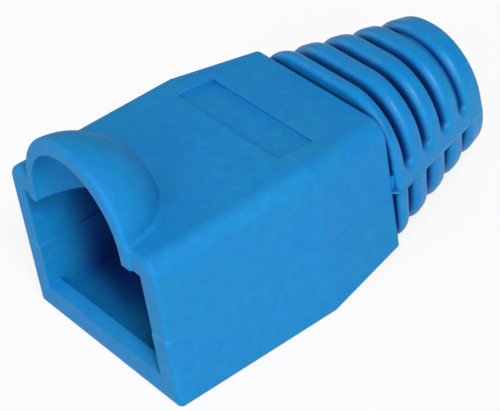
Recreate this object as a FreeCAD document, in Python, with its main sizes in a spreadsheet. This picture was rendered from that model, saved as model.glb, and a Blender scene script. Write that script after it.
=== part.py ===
"""Strain relief boot for an eight-way modular plug, moulded in one piece.

Sizes are in millimetres.  In the body's own axes the mouth is in the plane y = 0, the cable
leaves towards +y, the flat underside is z = 0 and the plug's latch is on the +z side.
"""
import FreeCAD, Part
import math
import os
import Sketcher

doc = FreeCAD.newDocument("strain_relief_boot")

# ---------------------------------------------------------------- sizes
SIZES = [
    ("housing_half_width", 7.0, "straight part of the housing, half across"),
    ("housing_height", 10.3, "flat underside to flat top"),
    ("housing_straight", 11.3, "mouth to the start of the taper"),
    ("housing_length", 16.95, "mouth to the rear face of the housing"),
    ("rear_half_width", 6.08, "rear face of the housing, half across"),
    ("rear_bottom", 0.78, "rear face, rise of the underside"),
    ("rear_drop", 0.6, "rear face, fall of the top"),
    ("top_edge_radius", 1.05, "long top edges of the housing"),
    ("bottom_edge_radius", 0.3, "long bottom edges of the housing"),
    ("mouth_edge_radius", 0.35, "outer edge of the mouth"),
    ("parting_height", 4.85, "plane where the two mould halves meet"),
    ("ridge_out", 0.05, "how far the witness ridge stands out"),
    ("ridge_thick", 0.08, "thickness of the witness ridge"),
    ("cavity_half_width", 5.65, "plug cavity above the parting plane, half across"),
    ("cavity_step", 0.1, "the lower half of the cavity is narrower by this each side"),
    ("cavity_floor", 1.3, "height of the cavity floor"),
    ("roof_thick", 1.35, "cavity ceiling to the top of the housing"),
    ("cavity_depth", 11.1, "straight part of the cavity"),
    ("throat_half_width", 5.2, "cavity where it starts to narrow, half across"),
    ("throat_corner", 0.6, "corner radius where the cavity starts to narrow"),
    ("throat_end", 17.9, "where the cavity has narrowed to the cable bore"),
    ("bore_radius", 3.0, "cable bore"),
    ("sill_front", 0.45, "sill at the mouth, height above the cavity floor"),
    ("sill_crest", 0.7, "crest of the sill, height above the cavity floor"),
    ("sill_setback", 0.85, "mouth to the crest of the sill"),
    ("sill_back", 1.05, "mouth to the foot of the sill's rear wall"),
    ("guard_radius", 4.8, "latch guard, outside radius"),
    ("guard_sink", 0.3, "centre of the latch guard's dome below the housing top"),
    ("hollow_radius", 4.15, "hollow under the latch guard, radius"),
    ("hollow_sink", 0.65, "centre of the hollow below the housing top"),
    ("hollow_low", 0.3, "how far the hollow's cut reaches below the cavity ceiling"),
    ("guard_foot", 0.3, "blend between the latch guard and the housing top"),
    ("lip_out", 0.15, "how far the guard's lip stands in front of the mouth"),
    ("lip_round", 0.3, "outer edge of the lip"),
    ("label_half_width", 4.65, "label recess, half across"),
    ("label_start", 10.5, "mouth to the front edge of the label recess"),
    ("label_end", 13.05, "mouth to the rear edge of the label recess"),
    ("label_depth", 0.28, "depth of the label recess"),
    ("sleeve_axis", 5.4, "height of the sleeve's axis"),
    ("sleeve_half_width", 6.45, "ribbed sleeve at its first rib, half across on the parting plane"),
    ("sleeve_bottom", 0.35, "ribbed sleeve at its first rib, height of its underside"),
    ("sleeve_top_corner", 3.9, "ribbed sleeve at its first rib, upper corner radius"),
    ("sleeve_bottom_corner", 2.4, "ribbed sleeve at its first rib, lower corner radius"),
    ("sleeve_draft", 6.0, "lean of the sleeve's sides away from the parting plane, degrees"),
    ("sleeve_end", 4.1, "cable end of the sleeve, half across and half its height"),
    ("end_top_corner", 3.9, "cable end of the sleeve, upper corner radius"),
    ("end_bottom_corner", 3.4, "cable end of the sleeve, lower corner radius"),
    ("round_flat", 0.02, "half of each flat left on a round section"),
    ("overall_length", 26.0, "mouth to the cable end"),
    ("core_half_width", 4.5, "tube inside the ribs at the housing, half across"),
    ("core_radius", 3.7, "tube inside the ribs, half its height, and its radius at the cable end"),
    ("first_gap", 0.35, "housing to the first rib"),
    ("nose_round", 0.35, "front edge of the first rib"),
    ("bridge_in", 0.14, "bridge to the first rib, set in from the housing's sides"),
    ("first_pitch", 1.28, "housing to the back of the first rib"),
    ("end_rib", 2.2, "front of the last groove to the cable end"),
    ("groove_width", 0.5, "width of each groove between the ribs"),
    ("upper_groove_end", 1.0, "end of an upper groove above the parting plane"),
    ("lower_groove_end", 0.12, "end of a lower groove below the parting plane"),
    ("rib_round", 0.37, "rounding of the ribs, as a share of a rib's thickness"),
    ("cable_end_round", 0.4, "outer edge of the cable end"),
    ("cut_clear", 2.0, "how far a cutting outline stands clear of the surface"),
]
GROOVES = int(4)
GROOVE_RUN = "(Dims.overall_length - Dims.housing_length - Dims.first_pitch - Dims.end_rib)"
GROOVE_PITCH = "%s / %d" % (GROOVE_RUN, GROOVES - 1)
value = {alias: number for alias, number, _ in SIZES}

sheet = doc.addObject("Spreadsheet::Sheet", "Dims")
for row, (alias, number, meaning) in enumerate(SIZES, start=1):
    sheet.set("A%d" % row, meaning)
    sheet.set("B%d" % row, str(number))
    sheet.setAlias("B%d" % row, alias)
doc.recompute()

body = doc.addObject("PartDesign::Body", "Boot")
body.Label = "boot"


# ---------------------------------------------------------------- helpers
def signed_names(text):
    """Split 'a + b - c' into (sign, name) pairs."""
    pairs = []
    sign = 1
    for word in text.split():
        if word == "+":
            sign = 1
        elif word == "-":
            sign = -1
        else:
            pairs.append((sign, word))
            sign = 1
    return pairs


def amount(text):
    """The starting value of a sum of named sizes."""
    return sum(sign * value[name] for sign, name in signed_names(text))


def linked(text):
    """The same sum written for the spreadsheet."""
    return " ".join("%s Dims.%s" % ("+" if sign > 0 else "-", name) for sign, name in signed_names(text))


def minus(text):
    """The same sum with every sign turned round."""
    return " ".join("%s %s" % ("-" if sign > 0 else "+", name) for sign, name in signed_names(text))


def origin_plane(role):
    """The body's own origin feature of that role."""
    for feature in body.Origin.OriginFeatures:
        if feature.Role == role:
            return feature
    raise ValueError(role)


def new_sketch(name, role, offset=None):
    """An empty sketch on an origin plane; offset is a sum of sizes along the plane's normal."""
    sketch = body.newObject("Sketcher::SketchObject", name)
    sketch.AttachmentSupport = (origin_plane(role), [""])
    sketch.MapMode = "FlatFace"
    if offset is not None:
        sketch.setExpression("AttachmentOffset.Base.z", linked(offset))
    return sketch


def dimension(sketch, kind, places, name, text):
    """Add a dimension that follows a sum of sizes."""
    index = sketch.addConstraint(Sketcher.Constraint(kind, *places, amount(text)))
    sketch.renameConstraint(index, name)
    sketch.setExpression("Constraints." + name, linked(text))


def tie(sketch, axis, element, end, name, text):
    """Tie one coordinate of a point; a leading minus puts it on the other side of the origin."""
    if text == "0":
        line = -2 if axis == "X" else -1
        sketch.addConstraint(Sketcher.Constraint("PointOnObject", element, end, line))
    elif text.startswith("- "):
        dimension(sketch, "Distance" + axis, (element, end, -1, 1), name, minus(text))
    else:
        dimension(sketch, "Distance" + axis, (-1, 1, element, end), name, text)


def finished(sketch):
    """Solve a sketch and stop if it is not fully tied down."""
    doc.recompute()
    if sketch.solve() != 0 or not sketch.FullyConstrained:
        raise RuntimeError("sketch is not tied down: " + sketch.Name)
    return sketch


def start_of(text):
    return 0.0 if text == "0" else amount(text)


def closed_polygon(sketch, corners):
    """Sides between corners given as (x, y) sums; no dimensions yet."""
    points = [FreeCAD.Vector(start_of(x), start_of(y), 0) for x, y in corners]
    count = len(points)
    for i in range(count):
        sketch.addGeometry(Part.LineSegment(points[i], points[(i + 1) % count]), False)
    for i in range(count):
        sketch.addConstraint(Sketcher.Constraint("Coincident", i, 2, (i + 1) % count, 1))


def tied_polygon(name, role, corners, offset=None):
    """Closed polygon with both coordinates of every corner tied."""
    sketch = new_sketch(name, role, offset)
    closed_polygon(sketch, corners)
    for i, (x, y) in enumerate(corners):
        tie(sketch, "X", i, 1, "corner%dx" % i, x)
        tie(sketch, "Y", i, 1, "corner%dy" % i, y)
    return finished(sketch)


def rounded_section(name, station, half_width, bottom, top, bottom_radius, top_radius):
    """Rounded oblong across the body at a station, symmetrical about the middle."""
    sketch = new_sketch(name, "XZ_Plane", minus(station) if station else None)
    x, low, high = amount(half_width), start_of(bottom), amount(top)
    low_r, high_r = amount(bottom_radius), amount(top_radius)
    outline = [
        ((-x + low_r, low), (x - low_r, low), (x - low_r, low + low_r), low_r),
        ((x, low + low_r), (x, high - high_r), (x - high_r, high - high_r), high_r),
        ((x - high_r, high), (-x + high_r, high), (-x + high_r, high - high_r), high_r),
        ((-x, high - high_r), (-x, low + low_r), (-x + low_r, low + low_r), low_r),
    ]
    for start, end, centre, radius in outline:
        sketch.addGeometry(Part.LineSegment(FreeCAD.Vector(*start, 0), FreeCAD.Vector(*end, 0)), False)
        circle = Part.Circle(FreeCAD.Vector(*centre, 0), FreeCAD.Vector(0, 0, 1), radius)
        angle = math.atan2(end[1] - centre[1], end[0] - centre[0])
        arc = Part.ArcOfCircle(circle, angle, angle + math.pi / 2)
        sketch.addGeometry(arc, False)
    for line in (0, 2, 4, 6):
        sketch.addConstraint(Sketcher.Constraint("Tangent", line, 2, line + 1, 1))
        sketch.addConstraint(Sketcher.Constraint("Tangent", line + 1, 2, (line + 2) % 8, 1))
    sketch.addConstraint(Sketcher.Constraint("Vertical", 2))
    sketch.addConstraint(Sketcher.Constraint("Horizontal", 4))
    sketch.addConstraint(Sketcher.Constraint("Vertical", 6))
    sketch.addConstraint(Sketcher.Constraint("Equal", 1, 7))
    sketch.addConstraint(Sketcher.Constraint("Equal", 3, 5))
    sketch.addConstraint(Sketcher.Constraint("Symmetric", 0, 1, 0, 2, -2))
    dimension(sketch, "Radius", (1,), "bottom_radius", bottom_radius)
    dimension(sketch, "Radius", (3,), "top_radius", top_radius)
    tie(sketch, "X", 2, 1, "half_width", half_width)
    tie(sketch, "Y", 0, 1, "bottom", bottom)
    tie(sketch, "Y", 4, 1, "top", top)
    return finished(sketch)


def cutting(item, least=0.0):
    """Stop if a cut has gone the wrong way and taken nothing away, or less than it must."""
    before, after = item.BaseFeature.Shape.Volume, item.Shape.Volume
    if not item.isValid() or before - after <= least:
        raise RuntimeError("%s cuts %.3f mm3" % (item.Name, before - after))
    return item


def drafted_section(name, station, half_width, bottom, top, bottom_radius, top_radius, draft):
    """Rounded section widest on the parting plane, with its sides leaning in above and below it."""
    sketch = new_sketch(name, "XZ_Plane", minus(station))
    x, middle, low, high = amount(half_width), amount("parting_height"), amount(bottom), amount(top)
    low_r, high_r, lean = amount(bottom_radius), amount(top_radius), math.radians(amount(draft))
    low_x = x - (low_r + math.sin(lean) * (middle - low - low_r)) / math.cos(lean)
    high_x = x - (high_r + math.sin(lean) * (high - high_r - middle)) / math.cos(lean)
    wide = FreeCAD.Vector(x, middle, 0)
    other = FreeCAD.Vector(-x, middle, 0)
    quarter = math.pi / 2
    arcs = [
        (FreeCAD.Vector(low_x, low + low_r, 0), low_r, -quarter, -lean),
        (FreeCAD.Vector(high_x, high - high_r, 0), high_r, lean, quarter),
        (FreeCAD.Vector(-high_x, high - high_r, 0), high_r, quarter, 2 * quarter - lean),
        (FreeCAD.Vector(-low_x, low + low_r, 0), low_r, 2 * quarter + lean, 3 * quarter),
    ]
    curves = [Part.ArcOfCircle(Part.Circle(centre, FreeCAD.Vector(0, 0, 1), radius), start, end)
              for centre, radius, start, end in arcs]
    outline = [
        Part.LineSegment(curves[3].EndPoint, curves[0].StartPoint), curves[0],
        Part.LineSegment(curves[0].EndPoint, wide), Part.LineSegment(wide, curves[1].StartPoint), curves[1],
        Part.LineSegment(curves[1].EndPoint, curves[2].StartPoint), curves[2],
        Part.LineSegment(curves[2].EndPoint, other), Part.LineSegment(other, curves[3].StartPoint), curves[3],
    ]
    for curve in outline:
        sketch.addGeometry(curve, False)
    for i in range(10):
        joint = "Coincident" if i in (2, 7) else "Tangent"
        sketch.addConstraint(Sketcher.Constraint(joint, i, 2, (i + 1) % 10, 1))
    sketch.addConstraint(Sketcher.Constraint("Equal", 1, 9))
    sketch.addConstraint(Sketcher.Constraint("Equal", 4, 6))
    for first, first_end, second, second_end in ((0, 1, 0, 2), (5, 1, 5, 2), (8, 1, 3, 1)):
        sketch.addConstraint(Sketcher.Constraint("Symmetric", first, first_end, second, second_end, -2))
    dimension(sketch, "Radius", (1,), "bottom_radius", bottom_radius)
    dimension(sketch, "Radius", (4,), "top_radius", top_radius)
    tie(sketch, "X", 3, 1, "half_width", half_width)
    tie(sketch, "Y", 3, 1, "middle", "parting_height")
    tie(sketch, "Y", 0, 1, "bottom", bottom)
    tie(sketch, "Y", 5, 1, "top", top)
    for line, lean_sign, label in ((2, "-", "low_lean"), (3, "+", "high_lean")):
        angle = quarter - lean if lean_sign == "-" else quarter + lean
        index = sketch.addConstraint(Sketcher.Constraint("Angle", line, angle))
        sketch.renameConstraint(index, label)
        sketch.setExpression("Constraints." + label, "90 deg %s Dims.%s * 1 deg" % (lean_sign, draft))
    return finished(sketch)


def feature(kind, name, **settings):
    """Add a PartDesign feature, recompute it and stop if it is broken."""
    item = body.newObject("PartDesign::" + kind, name)
    for key, setting in settings.items():
        setattr(item, key, setting)
    doc.recompute()
    if not item.isValid():
        raise RuntimeError("%s failed: %s" % (name, item.getStatusString()))
    return item


def loft(kind, name, sections):
    return feature(kind, name, Profile=sections[0], Sections=sections[1:], Ruled=True)


def rounded(name, base, radius, wanted):
    """Round the edges of the last shape that a test accepts; the radius is a spreadsheet expression."""
    edges = ["Edge%d" % (i + 1) for i, edge in enumerate(base.Shape.Edges) if wanted(edge)]
    if not edges:
        raise RuntimeError("no edges for " + name)
    item = body.newObject("PartDesign::Fillet", name)
    item.Base = (base, edges)
    item.setExpression("Radius", radius)
    doc.recompute()
    if not item.isValid():
        raise RuntimeError("%s failed: %s" % (name, item.getStatusString()))
    return item


def spans(edge):
    """Least and greatest x, y and z of an edge."""
    box = edge.BoundBox
    return box.XMin, box.XMax, box.YMin, box.YMax, box.ZMin, box.ZMax


NEAR = 1e-3


def at(number, text):
    """Whether a coordinate equals a sum of sizes."""
    return abs(number - start_of(text)) < NEAR


# ---------------------------------------------------------------- housing
mouth_section = rounded_section("MouthSection", "", "housing_half_width", "0", "housing_height",
                                "bottom_edge_radius", "top_edge_radius")
knee_section = rounded_section("KneeSection", "housing_straight", "housing_half_width", "0", "housing_height",
                               "bottom_edge_radius", "top_edge_radius")
rear_section = rounded_section("RearSection", "housing_length", "rear_half_width", "rear_bottom",
                               "housing_height - rear_drop", "bottom_edge_radius", "top_edge_radius")
straight = body.newObject("PartDesign::Pad", "HousingStraight")
straight.Profile = mouth_section
straight.Reversed = True
straight.setExpression("Length", linked("housing_straight"))
doc.recompute()
taper = loft("AdditiveLoft", "HousingTaper", [knee_section, rear_section])


def on_mouth(edge):
    x_min, x_max, y_min, y_max, z_min, z_max = spans(edge)
    return at(y_min, "0") and at(y_max, "0")


mouth_edges = rounded("MouthEdges", taper, linked("mouth_edge_radius"), on_mouth)

# ---------------------------------------------------------------- latch guard, outside
# A dome turned about an upright axis in the plane of its lip, so that it starts as an arch over
# the mouth and rounds down on to the housing top.


def dome_profile(name, radius, centre, bottom):
    """Quarter disc on a straight leg, beside an upright axis in the lip's plane."""
    sketch = new_sketch(name, "XZ_Plane", "lip_out")
    r, middle, low = amount(radius), amount(centre), amount(bottom)
    foot, crown = FreeCAD.Vector(0, low, 0), FreeCAD.Vector(0, middle + r, 0)
    sketch.addGeometry(Part.LineSegment(foot, FreeCAD.Vector(r, low, 0)), False)
    sketch.addGeometry(Part.LineSegment(FreeCAD.Vector(r, low, 0), FreeCAD.Vector(r, middle, 0)), False)
    circle = Part.Circle(FreeCAD.Vector(0, middle, 0), FreeCAD.Vector(0, 0, 1), r)
    sketch.addGeometry(Part.ArcOfCircle(circle, 0, math.pi / 2), False)
    sketch.addGeometry(Part.LineSegment(crown, foot), False)
    sketch.addConstraint(Sketcher.Constraint("Coincident", 0, 2, 1, 1))
    sketch.addConstraint(Sketcher.Constraint("Tangent", 1, 2, 2, 1))
    sketch.addConstraint(Sketcher.Constraint("Coincident", 2, 2, 3, 1))
    sketch.addConstraint(Sketcher.Constraint("Coincident", 3, 2, 0, 1))
    sketch.addConstraint(Sketcher.Constraint("Horizontal", 0))
    sketch.addConstraint(Sketcher.Constraint("Vertical", 1))
    sketch.addConstraint(Sketcher.Constraint("PointOnObject", 3, 2, -2))
    sketch.addConstraint(Sketcher.Constraint("PointOnObject", 2, 2, -2))
    sketch.addConstraint(Sketcher.Constraint("PointOnObject", 2, 3, -2))
    dimension(sketch, "Radius", (2,), "radius", radius)
    tie(sketch, "Y", 2, 3, "centre", centre)
    tie(sketch, "Y", 0, 1, "bottom", bottom)
    return finished(sketch)


def flared_dome_profile(name, radius, centre, flare, floor, bottom):
    """Quarter disc whose foot sweeps out on to the floor, on a straight leg down to the bottom."""
    sketch = new_sketch(name, "XZ_Plane", "lip_out")
    r, middle, f = amount(radius), amount(centre), amount(flare)
    ground, low = amount(floor), amount(bottom)
    lift = ground + f - middle
    reach = math.sqrt((r + f) ** 2 - lift ** 2)
    turn = math.atan2(lift, reach)
    axis_foot, crown = FreeCAD.Vector(0, low, 0), FreeCAD.Vector(0, middle + r, 0)
    up = FreeCAD.Vector(0, 0, 1)
    sketch.addGeometry(Part.LineSegment(axis_foot, FreeCAD.Vector(reach, low, 0)), False)
    sketch.addGeometry(Part.LineSegment(FreeCAD.Vector(reach, low, 0), FreeCAD.Vector(reach, ground, 0)), False)
    sweep = Part.Circle(FreeCAD.Vector(reach, ground + f, 0), up, f)
    sketch.addGeometry(Part.ArcOfCircle(sweep, math.pi + turn, 1.5 * math.pi), False)
    dome = Part.Circle(FreeCAD.Vector(0, middle, 0), up, r)
    sketch.addGeometry(Part.ArcOfCircle(dome, turn, math.pi / 2), False)
    sketch.addGeometry(Part.LineSegment(crown, axis_foot), False)
    sketch.addConstraint(Sketcher.Constraint("Coincident", 0, 2, 1, 1))
    sketch.addConstraint(Sketcher.Constraint("Coincident", 1, 2, 2, 2))
    sketch.addConstraint(Sketcher.Constraint("Tangent", 2, 1, 3, 1))
    sketch.addConstraint(Sketcher.Constraint("Coincident", 3, 2, 4, 1))
    sketch.addConstraint(Sketcher.Constraint("Coincident", 4, 2, 0, 1))
    sketch.addConstraint(Sketcher.Constraint("Horizontal", 0))
    sketch.addConstraint(Sketcher.Constraint("Vertical", 1))
    sketch.addConstraint(Sketcher.Constraint("Vertical", 2, 3, 2, 2))
    sketch.addConstraint(Sketcher.Constraint("PointOnObject", 4, 2, -2))
    sketch.addConstraint(Sketcher.Constraint("PointOnObject", 3, 2, -2))
    sketch.addConstraint(Sketcher.Constraint("PointOnObject", 3, 3, -2))
    dimension(sketch, "Radius", (3,), "radius", radius)
    dimension(sketch, "Radius", (2,), "flare", flare)
    tie(sketch, "Y", 3, 3, "centre", centre)
    tie(sketch, "Y", 2, 2, "floor", floor)
    tie(sketch, "Y", 0, 1, "bottom", bottom)
    return finished(sketch)


guard_profile = flared_dome_profile("GuardProfile", "guard_radius", "housing_height - guard_sink", "guard_foot",
                                    "housing_height", "housing_height - roof_thick")
guard = feature("Revolution", "Guard", Profile=guard_profile, ReferenceAxis=(guard_profile, ["V_Axis"]),
                Angle=180.0)


def on_lip(edge):
    """Edges of the lip's front, except the straight one below it that the mouth will take away."""
    x_min, x_max, y_min, y_max, z_min, z_max = spans(edge)
    return at(y_min, "- lip_out") and at(y_max, "- lip_out") and not at(z_max, "housing_height - roof_thick")


lip = rounded("LipEdges", guard, linked("lip_round"), on_lip)

# ---------------------------------------------------------------- ribbed sleeve
# A rounded oblong that runs out to a round end and stands just clear of the housing, bridged to it
# along the parting plane.  The grooves are cut right through, then a tube inside fills them up.


def pad_both_ways(name, sketch, thickness):
    """Pad half of its thickness to each side of the sketch."""
    pad = body.newObject("PartDesign::Pad", name)
    pad.Profile = sketch
    pad.SideType = "Symmetric"
    pad.setExpression("Length", thickness)
    doc.recompute()
    if not pad.isValid():
        raise RuntimeError(name + " failed: " + pad.getStatusString())
    return pad


def both_sides(side):
    """Corners along one side, then the same ones mirrored along the other."""
    return side + [(minus(x), y) for x, y in reversed(side)]


bridge_sketch = tied_polygon("BridgeSketch", "YZ_Plane", [
    ("housing_straight", "parting_height - lower_groove_end"),
    ("housing_length + first_gap + groove_width", "parting_height - lower_groove_end"),
    ("housing_length + first_gap + groove_width", "parting_height + upper_groove_end"),
    ("housing_straight", "parting_height + upper_groove_end"),
])
bridge = pad_both_ways("Bridge", bridge_sketch, "2 * (%s)" % linked("rear_half_width - bridge_in"))


sleeve_base = drafted_section("SleeveBase", "housing_length + first_gap", "sleeve_half_width",
                              "sleeve_bottom", "housing_height", "sleeve_bottom_corner",
                              "sleeve_top_corner", "sleeve_draft")
sleeve_tip = drafted_section("SleeveTip", "overall_length", "sleeve_end", "sleeve_axis - sleeve_end",
                             "sleeve_axis + sleeve_end", "end_bottom_corner", "end_top_corner", "sleeve_draft")
sleeve = loft("AdditiveLoft", "Sleeve", [sleeve_base, sleeve_tip])
skin = Part.Compound([face for face in sleeve.Shape.Faces
                      if face.BoundBox.YLength > amount("overall_length - housing_length - first_gap") - NEAR])


def on_skin(edge):
    """Whether an edge lies in the sleeve's outer surface."""
    first, last = edge.FirstParameter, edge.LastParameter
    places = [edge.valueAt(first + share * (last - first)) for share in (0.0, 0.5, 1.0)]
    return all(skin.distToShape(Part.Vertex(place))[0] < NEAR for place in places)


def on_nose(edge):
    x_min, x_max, y_min, y_max, z_min, z_max = spans(edge)
    start = "housing_length + first_gap"
    return at(y_min, start) and at(y_max, start) and on_skin(edge)


nose = rounded("RibNose", sleeve, linked("nose_round"), on_nose)


def upper_groove_sketch():
    """Upright slot seen from the side, with a round lower end above the parting plane."""
    sketch = new_sketch("UpperGrooveSketch", "YZ_Plane")
    near = amount("housing_length + first_pitch")
    half = value["groove_width"] / 2
    low = amount("parting_height + upper_groove_end")
    high = amount("sleeve_axis + sleeve_end + cut_clear")
    corners = [(near, low + half), (near, high), (near + 2 * half, high), (near + 2 * half, low + half)]
    points = [FreeCAD.Vector(y, z, 0) for y, z in corners]
    for i in range(3):
        sketch.addGeometry(Part.LineSegment(points[i + 1], points[i]), False)
    circle = Part.Circle(FreeCAD.Vector(near + half, low + half, 0), FreeCAD.Vector(0, 0, 1), half)
    sketch.addGeometry(Part.ArcOfCircle(circle, math.pi, 2 * math.pi), False)
    sketch.addConstraint(Sketcher.Constraint("Coincident", 0, 1, 1, 2))
    sketch.addConstraint(Sketcher.Constraint("Coincident", 1, 1, 2, 2))
    sketch.addConstraint(Sketcher.Constraint("Tangent", 0, 2, 3, 1))
    sketch.addConstraint(Sketcher.Constraint("Tangent", 2, 1, 3, 2))
    sketch.addConstraint(Sketcher.Constraint("Vertical", 0))
    sketch.addConstraint(Sketcher.Constraint("Horizontal", 1))
    sketch.addConstraint(Sketcher.Constraint("Vertical", 2))
    dimension(sketch, "DistanceX", (0, 2, 2, 1), "width", "groove_width")
    tie(sketch, "X", 0, 2, "front", "housing_length + first_pitch")
    tie(sketch, "Y", 0, 1, "top", "sleeve_axis + sleeve_end + cut_clear")
    centre = sketch.addConstraint(Sketcher.Constraint("DistanceY", -1, 1, 3, 3, low + half))
    sketch.renameConstraint(centre, "end")
    sketch.setExpression("Constraints.end", "Dims.parting_height + Dims.upper_groove_end + Dims.groove_width / 2")
    return finished(sketch)


def through_cut(name, sketch, half_length):
    """Pocket cut both ways from the middle plane."""
    cut = body.newObject("PartDesign::Pocket", name)
    cut.Profile = sketch
    cut.SideType = "Symmetric"
    cut.setExpression("Length", "2 * (%s)" % linked(half_length))
    doc.recompute()
    return cutting(cut)


def grooves(name, cut, count):
    """Repeat a cut along the sleeve."""
    row = body.newObject("PartDesign::LinearPattern", name)
    row.Originals = [cut]
    row.Direction = (origin_plane("Y_Axis"), [""])
    row.Mode = "Spacing"
    row.setExpression("Offset", GROOVE_PITCH)
    row.Occurrences = count
    doc.recompute()
    body.Tip = row
    doc.recompute()
    if not row.isValid():
        raise RuntimeError(name + " failed: " + row.getStatusString())
    return row


clear_of_sleeve = "sleeve_half_width + cut_clear"


def square_slot(name, start, low, high):
    """Upright slot seen from the side, with square ends."""
    rear = start + " + groove_width"
    return tied_polygon(name, "YZ_Plane", [(start, low), (rear, low), (rear, high), (start, high)])


upper_cut = through_cut("UpperGroove", upper_groove_sketch(), clear_of_sleeve)
upper_grooves = grooves("UpperGrooves", upper_cut, GROOVES)
lower_slot = square_slot("LowerSlot", "housing_length + first_pitch", "- cut_clear",
                         "parting_height - lower_groove_end")
lower_cut = through_cut("LowerGroove", lower_slot, clear_of_sleeve)
lower_grooves = grooves("LowerGrooves", lower_cut, GROOVES)
def on_rib(edge):
    """Both edges of every groove, and the round ends of the upper grooves."""
    x_min, x_max, y_min, y_max, z_min, z_max = spans(edge)
    nose_end = amount("housing_length + first_gap + nose_round")
    if y_min < nose_end + NEAR or y_max > amount("overall_length") - NEAR:
        return False
    longest = value["groove_width"] if z_min > amount("parting_height") else 0.0
    return y_max - y_min < longest + NEAR and on_skin(edge)


ribs = rounded("Ribs", lower_grooves, "Dims.rib_round * (%s - Dims.groove_width)" % GROOVE_PITCH, on_rib)
core_base = rounded_section("CoreBase", "housing_length", "core_half_width", "sleeve_axis - core_radius",
                            "sleeve_axis + core_radius", "core_radius - round_flat",
                            "core_radius - round_flat")
core_tip = rounded_section("CoreTip", "overall_length", "core_radius", "sleeve_axis - core_radius",
                           "sleeve_axis + core_radius", "core_radius - round_flat", "core_radius - round_flat")
core = loft("AdditiveLoft", "SleeveCore", [core_base, core_tip])


def on_cable_end(edge):
    x_min, x_max, y_min, y_max, z_min, z_max = spans(edge)
    return at(y_min, "overall_length") and at(y_max, "overall_length")


cable_end = rounded("CableEnd", core, linked("cable_end_round"), on_cable_end)

# ---------------------------------------------------------------- label recess
# Its floor follows the top: level up to the taper, then sloping with it.


def label_sketch():
    sketch = new_sketch("LabelSketch", "YZ_Plane")
    start, end = amount("label_start"), amount("label_end")
    knee, height, deep = amount("housing_straight"), amount("housing_height"), amount("label_depth")
    high = amount("housing_height + cut_clear")
    rear = FreeCAD.Vector(amount("housing_length"), amount("housing_height - rear_drop"), 0)
    knee_point = FreeCAD.Vector(knee, height, 0)
    slope = (rear.y - knee_point.y) / (rear.x - knee_point.x)
    low = height - deep
    points = [(start, low), (knee, low), (end, low + slope * (end - knee)), (end, high), (start, high)]
    points = [FreeCAD.Vector(y, z, 0) for y, z in points]
    for i in range(5):
        sketch.addGeometry(Part.LineSegment(points[i], points[(i + 1) % 5]), False)
    for i in range(5):
        sketch.addConstraint(Sketcher.Constraint("Coincident", i, 2, (i + 1) % 5, 1))
    sketch.addGeometry(Part.LineSegment(knee_point, rear), True)
    sketch.addConstraint(Sketcher.Constraint("Horizontal", 0))
    sketch.addConstraint(Sketcher.Constraint("Vertical", 2))
    sketch.addConstraint(Sketcher.Constraint("Horizontal", 3))
    sketch.addConstraint(Sketcher.Constraint("Vertical", 4))
    sketch.addConstraint(Sketcher.Constraint("Parallel", 1, 5))
    tie(sketch, "X", 5, 1, "knee_y", "housing_straight")
    tie(sketch, "Y", 5, 1, "knee_z", "housing_height")
    tie(sketch, "X", 5, 2, "rear_y", "housing_length")
    tie(sketch, "Y", 5, 2, "rear_z", "housing_height - rear_drop")
    tie(sketch, "X", 0, 1, "start", "label_start")
    tie(sketch, "X", 2, 1, "end", "label_end")
    tie(sketch, "Y", 0, 1, "floor", "housing_height - label_depth")
    tie(sketch, "Y", 3, 1, "clear", "housing_height + cut_clear")
    dimension(sketch, "Distance", (1, 2, 5), "depth", "label_depth")
    return finished(sketch)


label = through_cut("LabelRecess", label_sketch(), "label_half_width")

# ---------------------------------------------------------------- witness ridge of the mould
side = [
    ("housing_half_width + ridge_out", "mouth_edge_radius"),
    ("housing_half_width + ridge_out", "housing_straight"),
    ("rear_half_width + ridge_out", "housing_length"),
    ("sleeve_half_width + ridge_out", "housing_length + first_gap"),
    ("sleeve_end + ridge_out", "overall_length - cable_end_round"),
]
ridge_sketch = tied_polygon("RidgeSketch", "XY_Plane", both_sides(side), "parting_height")
ridge = pad_both_ways("WitnessRidge", ridge_sketch, linked("ridge_thick"))

# ---------------------------------------------------------------- plug cavity and cable bore
cavity_sketch = tied_polygon("CavitySketch", "XZ_Plane", [
    ("cavity_half_width - cavity_step", "cavity_floor"),
    ("cavity_half_width - cavity_step", "parting_height"),
    ("cavity_half_width", "parting_height"),
    ("cavity_half_width", "housing_height - roof_thick"),
    ("- cavity_half_width", "housing_height - roof_thick"),
    ("- cavity_half_width", "parting_height"),
    ("- cavity_half_width + cavity_step", "parting_height"),
    ("- cavity_half_width + cavity_step", "cavity_floor"),
])
cavity = body.newObject("PartDesign::Pocket", "PlugCavity")
cavity.Profile = cavity_sketch
cavity.setExpression("Length", linked("cavity_depth"))
doc.recompute()
cutting(cavity, amount("cavity_depth") * amount("cavity_half_width")
        * amount("housing_height - roof_thick - cavity_floor"))
throat_wide = rounded_section("ThroatWide", "cavity_depth", "throat_half_width", "cavity_floor",
                              "housing_height - roof_thick", "throat_corner", "throat_corner")
throat_narrow = rounded_section("ThroatNarrow", "throat_end", "bore_radius", "sleeve_axis - bore_radius",
                                "sleeve_axis + bore_radius", "bore_radius - round_flat",
                                "bore_radius - round_flat")
throat = cutting(loft("SubtractiveLoft", "Throat", [throat_wide, throat_narrow]))
bore_sketch = new_sketch("BoreSketch", "XZ_Plane", "- overall_length")
bore_sketch.addGeometry(Part.Circle(FreeCAD.Vector(0, value["sleeve_axis"], 0), FreeCAD.Vector(0, 0, 1),
                                    value["bore_radius"]), False)
bore_sketch.addConstraint(Sketcher.Constraint("PointOnObject", 0, 3, -2))
dimension(bore_sketch, "Radius", (0,), "radius", "bore_radius")
tie(bore_sketch, "Y", 0, 3, "axis", "sleeve_axis")
finished(bore_sketch)
bore = body.newObject("PartDesign::Pocket", "CableBore")
bore.Profile = bore_sketch
bore.Reversed = True
bore.setExpression("Length", linked("overall_length - throat_end"))
doc.recompute()
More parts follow.
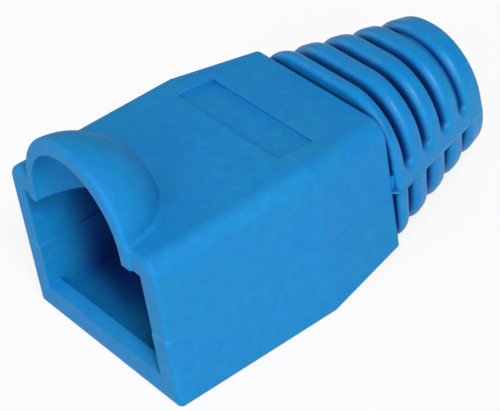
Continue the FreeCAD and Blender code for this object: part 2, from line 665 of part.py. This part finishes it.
cutting(bore, amount("overall_length - throat_end") * amount("bore_radius") ** 2)

# ---------------------------------------------------------------- hollow under the latch guard
hollow_profile = dome_profile("HollowProfile", "hollow_radius", "housing_height - hollow_sink",
                              "housing_height - roof_thick - hollow_low")
hollow = feature("Groove", "GuardHollow", Profile=hollow_profile, ReferenceAxis=(hollow_profile, ["V_Axis"]),
                 Angle=360.0)
cutting(hollow)

# ---------------------------------------------------------------- sill at the mouth
sill_sketch = tied_polygon("SillSketch", "YZ_Plane", [
    ("0", "cavity_floor - sill_front"),
    ("sill_back", "cavity_floor - sill_front"),
    ("sill_back", "cavity_floor"),
    ("sill_setback", "cavity_floor + sill_crest"),
    ("0", "cavity_floor + sill_front"),
])
sill = pad_both_ways("Sill", sill_sketch, "2 * (%s)" % linked("cavity_half_width"))

# ---------------------------------------------------------------- place, check and write
body.setExpression("Placement.Base.y", "(Dims.lip_out - Dims.overall_length) / 2")
body.Tip = sill
doc.recompute()

for item in doc.Objects:
    if "Invalid" in item.State or "Error" in item.State:
        raise RuntimeError("%s: %s" % (item.Name, item.State))
    if hasattr(item, "Shape") and item.isDerivedFrom("PartDesign::Feature"):
        if item.Shape.isNull() or not item.Shape.isValid():
            raise RuntimeError("bad shape: " + item.Name)
shape = body.Shape
if shape.isNull() or not shape.isValid() or len(shape.Solids) != 1:
    raise RuntimeError("the boot is not one good solid")

os.makedirs("parts", exist_ok=True)
shape.exportStep("parts/%s.step" % body.Label)
print("boot", [round(length, 2) for length in (shape.BoundBox.XLength, shape.BoundBox.YLength,
                                               shape.BoundBox.ZLength)], "volume", round(shape.Volume, 1))
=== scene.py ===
import math

import bpy
from mathutils import Euler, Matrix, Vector

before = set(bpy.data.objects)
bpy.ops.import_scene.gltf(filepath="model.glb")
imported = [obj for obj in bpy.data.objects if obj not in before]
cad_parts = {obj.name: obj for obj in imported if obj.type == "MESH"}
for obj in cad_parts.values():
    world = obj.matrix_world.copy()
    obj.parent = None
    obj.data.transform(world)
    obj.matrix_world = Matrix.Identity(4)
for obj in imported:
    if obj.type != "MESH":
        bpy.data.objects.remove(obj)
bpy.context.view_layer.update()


# ---------------------------------------------------------------- node helpers


def new_material(name):
    """An empty node material, its tree and its output node."""
    material = bpy.data.materials.new(name)
    material.use_nodes = True
    tree = material.node_tree
    tree.nodes.clear()
    return material, tree, node(tree, "ShaderNodeOutputMaterial")


def new_group(name, inputs, outputs):
    """An empty shader node group with its ends; inputs are (name, kind, value), outputs (name, kind)."""
    group = bpy.data.node_groups.new(name, "ShaderNodeTree")
    for label, kind, start in inputs:
        socket = group.interface.new_socket(label, in_out="INPUT", socket_type=kind)
        if start is not None:
            socket.default_value = start
    for label, kind in outputs:
        group.interface.new_socket(label, in_out="OUTPUT", socket_type=kind)
    return group, node(group, "NodeGroupInput"), node(group, "NodeGroupOutput")


def node(tree, kind, **settings):
    """One node with its properties set."""
    made = tree.nodes.new(kind)
    for key, value in settings.items():
        setattr(made, key, value)
    return made


def feed(tree, socket, source):
    """Link a socket, or give it a plain value."""
    if isinstance(source, bpy.types.NodeSocket):
        tree.links.new(source, socket)
    else:
        socket.default_value = source


def maths(tree, operation, first, second=0.0, clamp=False):
    """One sum on two values."""
    made = node(tree, "ShaderNodeMath", operation=operation, use_clamp=clamp)
    feed(tree, made.inputs[0], first)
    feed(tree, made.inputs[1], second)
    return made.outputs[0]


def times(tree, first, second):
    return maths(tree, "MULTIPLY", first, second)


def plus(tree, first, second, clamp=False):
    return maths(tree, "ADD", first, second, clamp)


def minus(tree, first, second):
    return maths(tree, "SUBTRACT", first, second)


def noise(tree, vector, scale, detail, roughness, distortion=0.0):
    """Noise with features about 1 / scale metres wide."""
    made = node(tree, "ShaderNodeTexNoise")
    feed(tree, made.inputs["Vector"], vector)
    made.inputs["Scale"].default_value = scale
    made.inputs["Detail"].default_value = detail
    made.inputs["Roughness"].default_value = roughness
    made.inputs["Distortion"].default_value = distortion
    return made.outputs["Fac"]


def spread(tree, value, low, high, to_low=0.0, to_high=1.0):
    """Map low..high to to_low..to_high, eased and clamped."""
    made = node(tree, "ShaderNodeMapRange", clamp=True, interpolation_type="SMOOTHSTEP")
    feed(tree, made.inputs["Value"], value)
    made.inputs["From Min"].default_value = low
    made.inputs["From Max"].default_value = high
    made.inputs["To Min"].default_value = to_low
    made.inputs["To Max"].default_value = to_high
    return made.outputs["Result"]


def blend(tree, factor, first, second):
    """Mix two colours."""
    made = node(tree, "ShaderNodeMix", data_type="RGBA")
    factor_in = [socket for socket in made.inputs if socket.type == "VALUE" and socket.enabled][0]
    colours = [socket for socket in made.inputs if socket.type == "RGBA"]
    feed(tree, factor_in, factor)
    feed(tree, colours[0], first)
    feed(tree, colours[1], second)
    return [socket for socket in made.outputs if socket.type == "RGBA"][0]


# ---------------------------------------------------------------- effects of the moulding, and masks for painted shade and highlights

MASK_SAMPLES = 8        # rays for each mask of how open a surface is
BEVEL_SAMPLES = 6       # rays for the rounded normal


def openness(group, reach):
    """How open a surface is within a reach: 1 on a flat outside, towards 0 deep in a slot."""
    made = node(group, "ShaderNodeAmbientOcclusion", samples=MASK_SAMPLES, only_local=True)
    feed(group, made.inputs["Distance"], reach)
    return made.outputs["AO"]


def edge_and_shade_masks():
    """Softened corners: a rounded normal, and masks of edges, shallow folds, creases and hollows; the
    material uses them for paler edges (partly wear, partly painted highlight) and for painted shade.
    """
    group, start, end = new_group(
        "edge_and_shade_masks",
        [("Radius", "NodeSocketFloat", 0.00015), ("Crease Depth", "NodeSocketFloat", 0.0013),
         ("Hollow Depth", "NodeSocketFloat", 0.025)],
        [("Normal", "NodeSocketVector"), ("Edge", "NodeSocketFloat"), ("Fold", "NodeSocketFloat"),
         ("Crease", "NodeSocketFloat"), ("Hollow", "NodeSocketFloat")])
    rounded = node(group, "ShaderNodeBevel", samples=BEVEL_SAMPLES)
    feed(group, rounded.inputs["Radius"], start.outputs["Radius"])
    surface = node(group, "ShaderNodeNewGeometry")
    turned = node(group, "ShaderNodeVectorMath", operation="DOT_PRODUCT")
    feed(group, turned.inputs[0], rounded.outputs["Normal"])
    feed(group, turned.inputs[1], surface.outputs["Normal"])
    turning = spread(group, turned.outputs["Value"], 0.80, 0.995, 1.0, 0.0)
    near = openness(group, start.outputs["Crease Depth"])
    outward = spread(group, near, 0.62, 0.92)
    feed(group, end.inputs["Normal"], rounded.outputs["Normal"])
    feed(group, end.inputs["Edge"], times(group, turning, outward))
    feed(group, end.inputs["Fold"], spread(group, near, 0.22, 0.86, 1.0, 0.0))
    feed(group, end.inputs["Crease"], spread(group, near, 0.08, 0.52, 1.0, 0.0))
    far = openness(group, start.outputs["Hollow Depth"])
    feed(group, end.inputs["Hollow"], spread(group, far, 0.20, 0.52, 1.0, 0.0))
    return group


def flow_mottle():
    """Cloudy streaks along the fill direction, finer blotches, and single pigment specks."""
    group, start, end = new_group(
        "flow_mottle",
        [("Vector", "NodeSocketVector", None)],
        [("Streak", "NodeSocketFloat"), ("Blotch", "NodeSocketFloat"), ("Speck", "NodeSocketFloat")])
    stretched = node(group, "ShaderNodeMapping")
    stretched.inputs["Scale"].default_value = (1.0, 0.45, 1.0)
    feed(group, stretched.inputs["Vector"], start.outputs["Vector"])
    streak = noise(group, stretched.outputs["Vector"], 260, detail=3, roughness=0.6, distortion=0.9)
    blotch = noise(group, start.outputs["Vector"], 1500, detail=4, roughness=0.68, distortion=0.3)
    speck = noise(group, start.outputs["Vector"], 4200, detail=1, roughness=0.5)
    feed(group, end.inputs["Streak"], spread(group, streak, 0.34, 0.66))
    feed(group, end.inputs["Blotch"], spread(group, blotch, 0.32, 0.68))
    feed(group, end.inputs["Speck"], spread(group, speck, 0.70, 0.82))
    return group


SLOW_WAVE = 0.000022    # height of the slow unevenness of a soft wall, metres


def eroded_grain():
    """Height of the spark-eroded mould grain, and of the slow unevenness of a soft wall, in metres."""
    group, start, end = new_group(
        "eroded_grain",
        [("Vector", "NodeSocketVector", None), ("Depth", "NodeSocketFloat", 0.000004)],
        [("Height", "NodeSocketFloat"), ("Grain", "NodeSocketFloat")])
    fine = noise(group, start.outputs["Vector"], 6500, detail=2, roughness=0.6)
    pits = noise(group, start.outputs["Vector"], 2600, detail=3, roughness=0.6)
    slow = noise(group, start.outputs["Vector"], 330, detail=1, roughness=0.4)
    grain = plus(group, times(group, fine, 0.45), times(group, pits, 0.55))
    height = times(group, grain, start.outputs["Depth"])
    feed(group, end.inputs["Height"], plus(group, height, times(group, slow, SLOW_WAVE)))
    feed(group, end.inputs["Grain"], grain)
    return group


# ---------------------------------------------------------------- soft PVC

DEEP_BLUE = (0.0004, 0.138, 0.425, 1.0)
CLEAR_BLUE = (0.0008, 0.206, 0.528, 1.0)
GREEN_BLUE = (0.0024, 0.216, 0.486, 1.0)
PALE_BLUE = (0.032, 0.310, 0.650, 1.0)
# painted shade in grooves, creases and folds, where the surface is closed in
GROOVE_SHADE_BLUE = (0.0004, 0.050, 0.240, 1.0)
# painted shade deep inside the cavity
CAVITY_SHADE_BLUE = (0.0002, 0.034, 0.220, 1.0)

# places on the boot, metres
PARTING_HEIGHT = 0.00485            # plane where the two mould halves meet
SEAM_HIGHLIGHT_HALF = 0.00007              # half the thickness of the painted highlight along the parting line
CAVITY_TOP = 0.0090
CAVITY_TOP_FADE = 0.0006
MOUTH = -0.0130
SHADE_FROM, SHADE_TO = 0.0016, 0.0040   # behind the mouth, where the painted shade in the cavity starts and where it is full
HOUSING_REAR = 0.0040
SLEEVE_START = 0.0048

# how strongly each effect shows in the colour
BLOTCH_SHARE = 0.36
SPECK_SHARE, SLEEVE_SCUFFS = 0.22, 0.25
# share of the painted shade in creases, grooves and the sleeve's folds
CREASE_SHADE_SHARE = 0.75
# share of the painted highlight along the mould's parting line
SEAM_HIGHLIGHT_SHARE = 0.35
# share of the paler edges, partly rubbed wear and partly painted highlight
EDGE_SHARE, SLEEVE_EDGE_LESS = 0.42, 0.20

# roughness of the housing, and what each effect adds to it or takes away
HOUSING_ROUGHNESS, SLEEVE_SMOOTHER = 0.54, 0.23
GRAIN_ROUGHER, WORN_SMOOTHER, CREASE_ROUGHER = 0.12, 0.10, 0.14
HOLLOW_ROUGHER, STREAK_ROUGHER = 0.25, 0.05

GRAIN_DEPTH, SLEEVE_GRAIN_LESS = 0.0000240, 0.0000180   # metres

IOR = 1.5
SPECULAR_LEVEL = 0.25


def soft_pvc(edges, mottle, grain):
    """Blue injection-moulded soft PVC: satin on the grained housing, glossier on the plain sleeve."""
    material, tree, out = new_material("boot_soft_pvc")
    shader = node(tree, "ShaderNodeBsdfPrincipled")
    tree.links.new(shader.outputs[0], out.inputs["Surface"])
    place = node(tree, "ShaderNodeTexCoord").outputs["Object"]

    corner = node(tree, "ShaderNodeGroup", node_tree=edges).outputs
    cloud_node = node(tree, "ShaderNodeGroup", node_tree=mottle)
    feed(tree, cloud_node.inputs["Vector"], place)
    cloud = cloud_node.outputs
    relief = node(tree, "ShaderNodeGroup", node_tree=grain)
    feed(tree, relief.inputs["Vector"], place)

    axes = node(tree, "ShaderNodeSeparateXYZ")
    feed(tree, axes.inputs[0], place)
    sleeve = spread(tree, axes.outputs["Y"], HOUSING_REAR, SLEEVE_START)

    # where the painted shade in folds, creases and the cavity, and the painted highlight along the
    # mould's parting line, go
    # painted shade in creases, and in the sleeve's folds
    shaded = maths(tree, "MAXIMUM", corner["Crease"], times(tree, corner["Fold"], sleeve))
    # painted shade in the cavity: its hollows, under the roof, from a little behind the mouth inwards
    under_roof = spread(tree, axes.outputs["Z"], CAVITY_TOP, CAVITY_TOP + CAVITY_TOP_FADE, 1.0, 0.0)
    past_mouth = spread(tree, axes.outputs["Y"], MOUTH + SHADE_FROM, MOUTH + SHADE_TO)
    within = times(tree, corner["Hollow"], times(tree, under_roof, past_mouth))
    outside = spread(tree, corner["Hollow"], 0.0, 0.30, 1.0, 0.0)
    # painted highlight: a paler line along the parting plane, where the seam ridge catches light
    off_plane = maths(tree, "ABSOLUTE", minus(tree, axes.outputs["Z"], PARTING_HEIGHT))
    seam_highlight = spread(tree, off_plane, SEAM_HIGHLIGHT_HALF, 2 * SEAM_HIGHLIGHT_HALF, 1.0, 0.0)
    # paler edges: partly rubbed wear, partly a painted highlight on rounded edges; kept out of the
    # cavity
    rubbed = spread(tree, cloud["Blotch"], 0.15, 0.75, 0.45, 1.0)
    wear_and_edge_highlight = times(tree, times(tree, corner["Edge"], rubbed), outside)

    # colour: two close blues in streaks, deeper blotches, specks, then painted shade in creases and the
    # cavity, a painted highlight along the parting line, and paler edges that are partly wear and partly
    # painted highlight
    body = blend(tree, cloud["Streak"], CLEAR_BLUE, GREEN_BLUE)
    body = blend(tree, times(tree, cloud["Blotch"], BLOTCH_SHARE), body, DEEP_BLUE)
    scuffs = plus(tree, times(tree, sleeve, SLEEVE_SCUFFS), SPECK_SHARE)
    body = blend(tree, times(tree, cloud["Speck"], scuffs), body, PALE_BLUE)
    # painted shade: grooves, creases and the sleeve's folds darkened where they are closed in
    body = blend(tree, times(tree, shaded, CREASE_SHADE_SHARE), body, GROOVE_SHADE_BLUE)
    # painted shade deep in the cavity
    body = blend(tree, within, body, CAVITY_SHADE_BLUE)
    # painted highlight along the parting line, kept out of the cavity
    body = blend(tree, times(tree, times(tree, seam_highlight, outside), SEAM_HIGHLIGHT_SHARE), body, PALE_BLUE)
    # paler edges, partly rubbed wear and partly painted highlight, less of them on the sleeve
    edge_pale_share = minus(tree, EDGE_SHARE, times(tree, sleeve, SLEEVE_EDGE_LESS))
    body = blend(tree, times(tree, wear_and_edge_highlight, edge_pale_share), body, PALE_BLUE)
    feed(tree, shader.inputs["Base Color"], body)

    # gloss: grained housing, plain sleeve, edges rubbed smooth, dull corners
    satin = minus(tree, HOUSING_ROUGHNESS, times(tree, sleeve, SLEEVE_SMOOTHER))
    satin = plus(tree, satin, times(tree, relief.outputs["Grain"], GRAIN_ROUGHER))
    satin = minus(tree, satin, times(tree, wear_and_edge_highlight, WORN_SMOOTHER))
    satin = plus(tree, satin, times(tree, shaded, CREASE_ROUGHER))
    satin = plus(tree, satin, times(tree, within, HOLLOW_ROUGHER))
    satin = plus(tree, satin, times(tree, cloud["Streak"], STREAK_ROUGHER), clamp=True)
    feed(tree, shader.inputs["Roughness"], satin)

    # relief: grain on the housing, less of it on the sleeve
    depth = minus(tree, GRAIN_DEPTH, times(tree, sleeve, SLEEVE_GRAIN_LESS))
    feed(tree, relief.inputs["Depth"], depth)
    bump = node(tree, "ShaderNodeBump")
    bump.inputs["Strength"].default_value = 1.0
    bump.inputs["Distance"].default_value = 1.0
    feed(tree, bump.inputs["Height"], relief.outputs["Height"])
    feed(tree, bump.inputs["Normal"], corner["Normal"])
    feed(tree, shader.inputs["Normal"], bump.outputs["Normal"])

    shader.inputs["IOR"].default_value = IOR
    shader.inputs["Specular IOR Level"].default_value = SPECULAR_LEVEL
    return material


pvc = soft_pvc(edge_and_shade_masks(), flow_mottle(), eroded_grain())
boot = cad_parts["boot"]
for slot in boot.material_slots:
    slot.material = pvc

# ---------------------------------------------------------------- floor and surround

PAPER = (0.82, 0.82, 0.82, 1.0)
PAPER_ROUGHNESS = 0.8
PAPER_SEEN_WHITE = 0.84     # the rest of what is seen keeps the boot's shadow
FLOOR_SIZE = 1.6
FLOOR_DROP = 0.00005        # keeps the floor off the boot's flat underside

ROOM_LIGHT = 0.36
ROOM_WHITE = 1.0


def seen_white(tree, own, share):
    """Mix a shader with plain white for what is seen directly, in a reflection or through glass."""
    path = node(tree, "ShaderNodeLightPath").outputs
    seen = plus(tree, path["Is Camera Ray"], path["Is Glossy Ray"], clamp=True)
    seen = plus(tree, seen, path["Is Transmission Ray"], clamp=True)
    white = node(tree, "ShaderNodeEmission")
    mixed = node(tree, "ShaderNodeMixShader")
    feed(tree, mixed.inputs[0], times(tree, seen, share))
    tree.links.new(own, mixed.inputs[1])
    tree.links.new(white.outputs[0], mixed.inputs[2])
    return mixed.outputs[0]


def lay_floor():
    """A sheet of pale paper under the boot."""
    material, tree, out = new_material("floor_paper")
    paper = node(tree, "ShaderNodeBsdfPrincipled")
    paper.inputs["Base Color"].default_value = PAPER
    paper.inputs["Roughness"].default_value = PAPER_ROUGHNESS
    tree.links.new(seen_white(tree, paper.outputs[0], PAPER_SEEN_WHITE), out.inputs["Surface"])
    bpy.ops.mesh.primitive_plane_add(size=FLOOR_SIZE, location=(0, 0, -FLOOR_DROP))
    sheet = bpy.context.object
    sheet.name = "floor"
    sheet.data.materials.append(material)
    return sheet


def light_room():
    """An even pale surround, plain white where it is seen directly."""
    world = bpy.data.worlds.new("studio")
    bpy.context.scene.world = world
    world.use_nodes = True
    tree = world.node_tree
    tree.nodes.clear()
    out = node(tree, "ShaderNodeOutputWorld")
    room = node(tree, "ShaderNodeBackground")
    room.inputs["Color"].default_value = (1, 1, 1, 1)
    path = node(tree, "ShaderNodeLightPath").outputs
    strength = plus(tree, times(tree, path["Is Camera Ray"], ROOM_WHITE - ROOM_LIGHT), ROOM_LIGHT)
    feed(tree, room.inputs["Strength"], strength)
    tree.links.new(room.outputs[0], out.inputs["Surface"])


floor = lay_floor()
light_room()

# ---------------------------------------------------------------- lamps

LAMP_AIM = Vector((0, 0, 0.006))


def softbox(name, azimuth, elevation, distance, size, watts):
    """A square area lamp; azimuth 0 is in front of the mouth, 90 on the right."""
    a, e = math.radians(azimuth), math.radians(elevation)
    place = distance * Vector((math.cos(e) * math.sin(a), -math.cos(e) * math.cos(a), math.sin(e)))
    lamp = bpy.data.lights.new(name, "AREA")
    lamp.size = size
    lamp.energy = watts
    holder = bpy.data.objects.new(name, lamp)
    holder.location = place
    holder.rotation_euler = (LAMP_AIM - place).to_track_quat("-Z", "Y").to_euler()
    bpy.context.scene.collection.objects.link(holder)


#       name          azimuth  elevation  distance  size  watts
softbox("key",        71,      50,        0.34,     0.07, 0.72)
softbox("low_side",   72,      18,        0.50,     0.06, 0.42)
softbox("front_fill", 24,      24,        0.50,     0.20, 0.64)
softbox("far_fill",   290,     22,        0.50,     0.25, 0.42)

# ---------------------------------------------------------------- camera

LENS_MM = 164.38
CAMERA_PLACE = (0.089901, -0.058154, 0.084442)
CAMERA_TURN = (52.475, 8.016, 51.802)   # degrees

lens = bpy.data.cameras.new("camera")
lens.sensor_width = 36
lens.lens = LENS_MM
lens.clip_start = 0.005
lens.clip_end = 10
camera = bpy.data.objects.new("camera", lens)
camera.location = CAMERA_PLACE
camera.rotation_euler = Euler([math.radians(angle) for angle in CAMERA_TURN], "XYZ")
bpy.context.scene.collection.objects.link(camera)
bpy.context.scene.camera = camera

bpy.context.scene.view_settings.view_transform = "Standard"
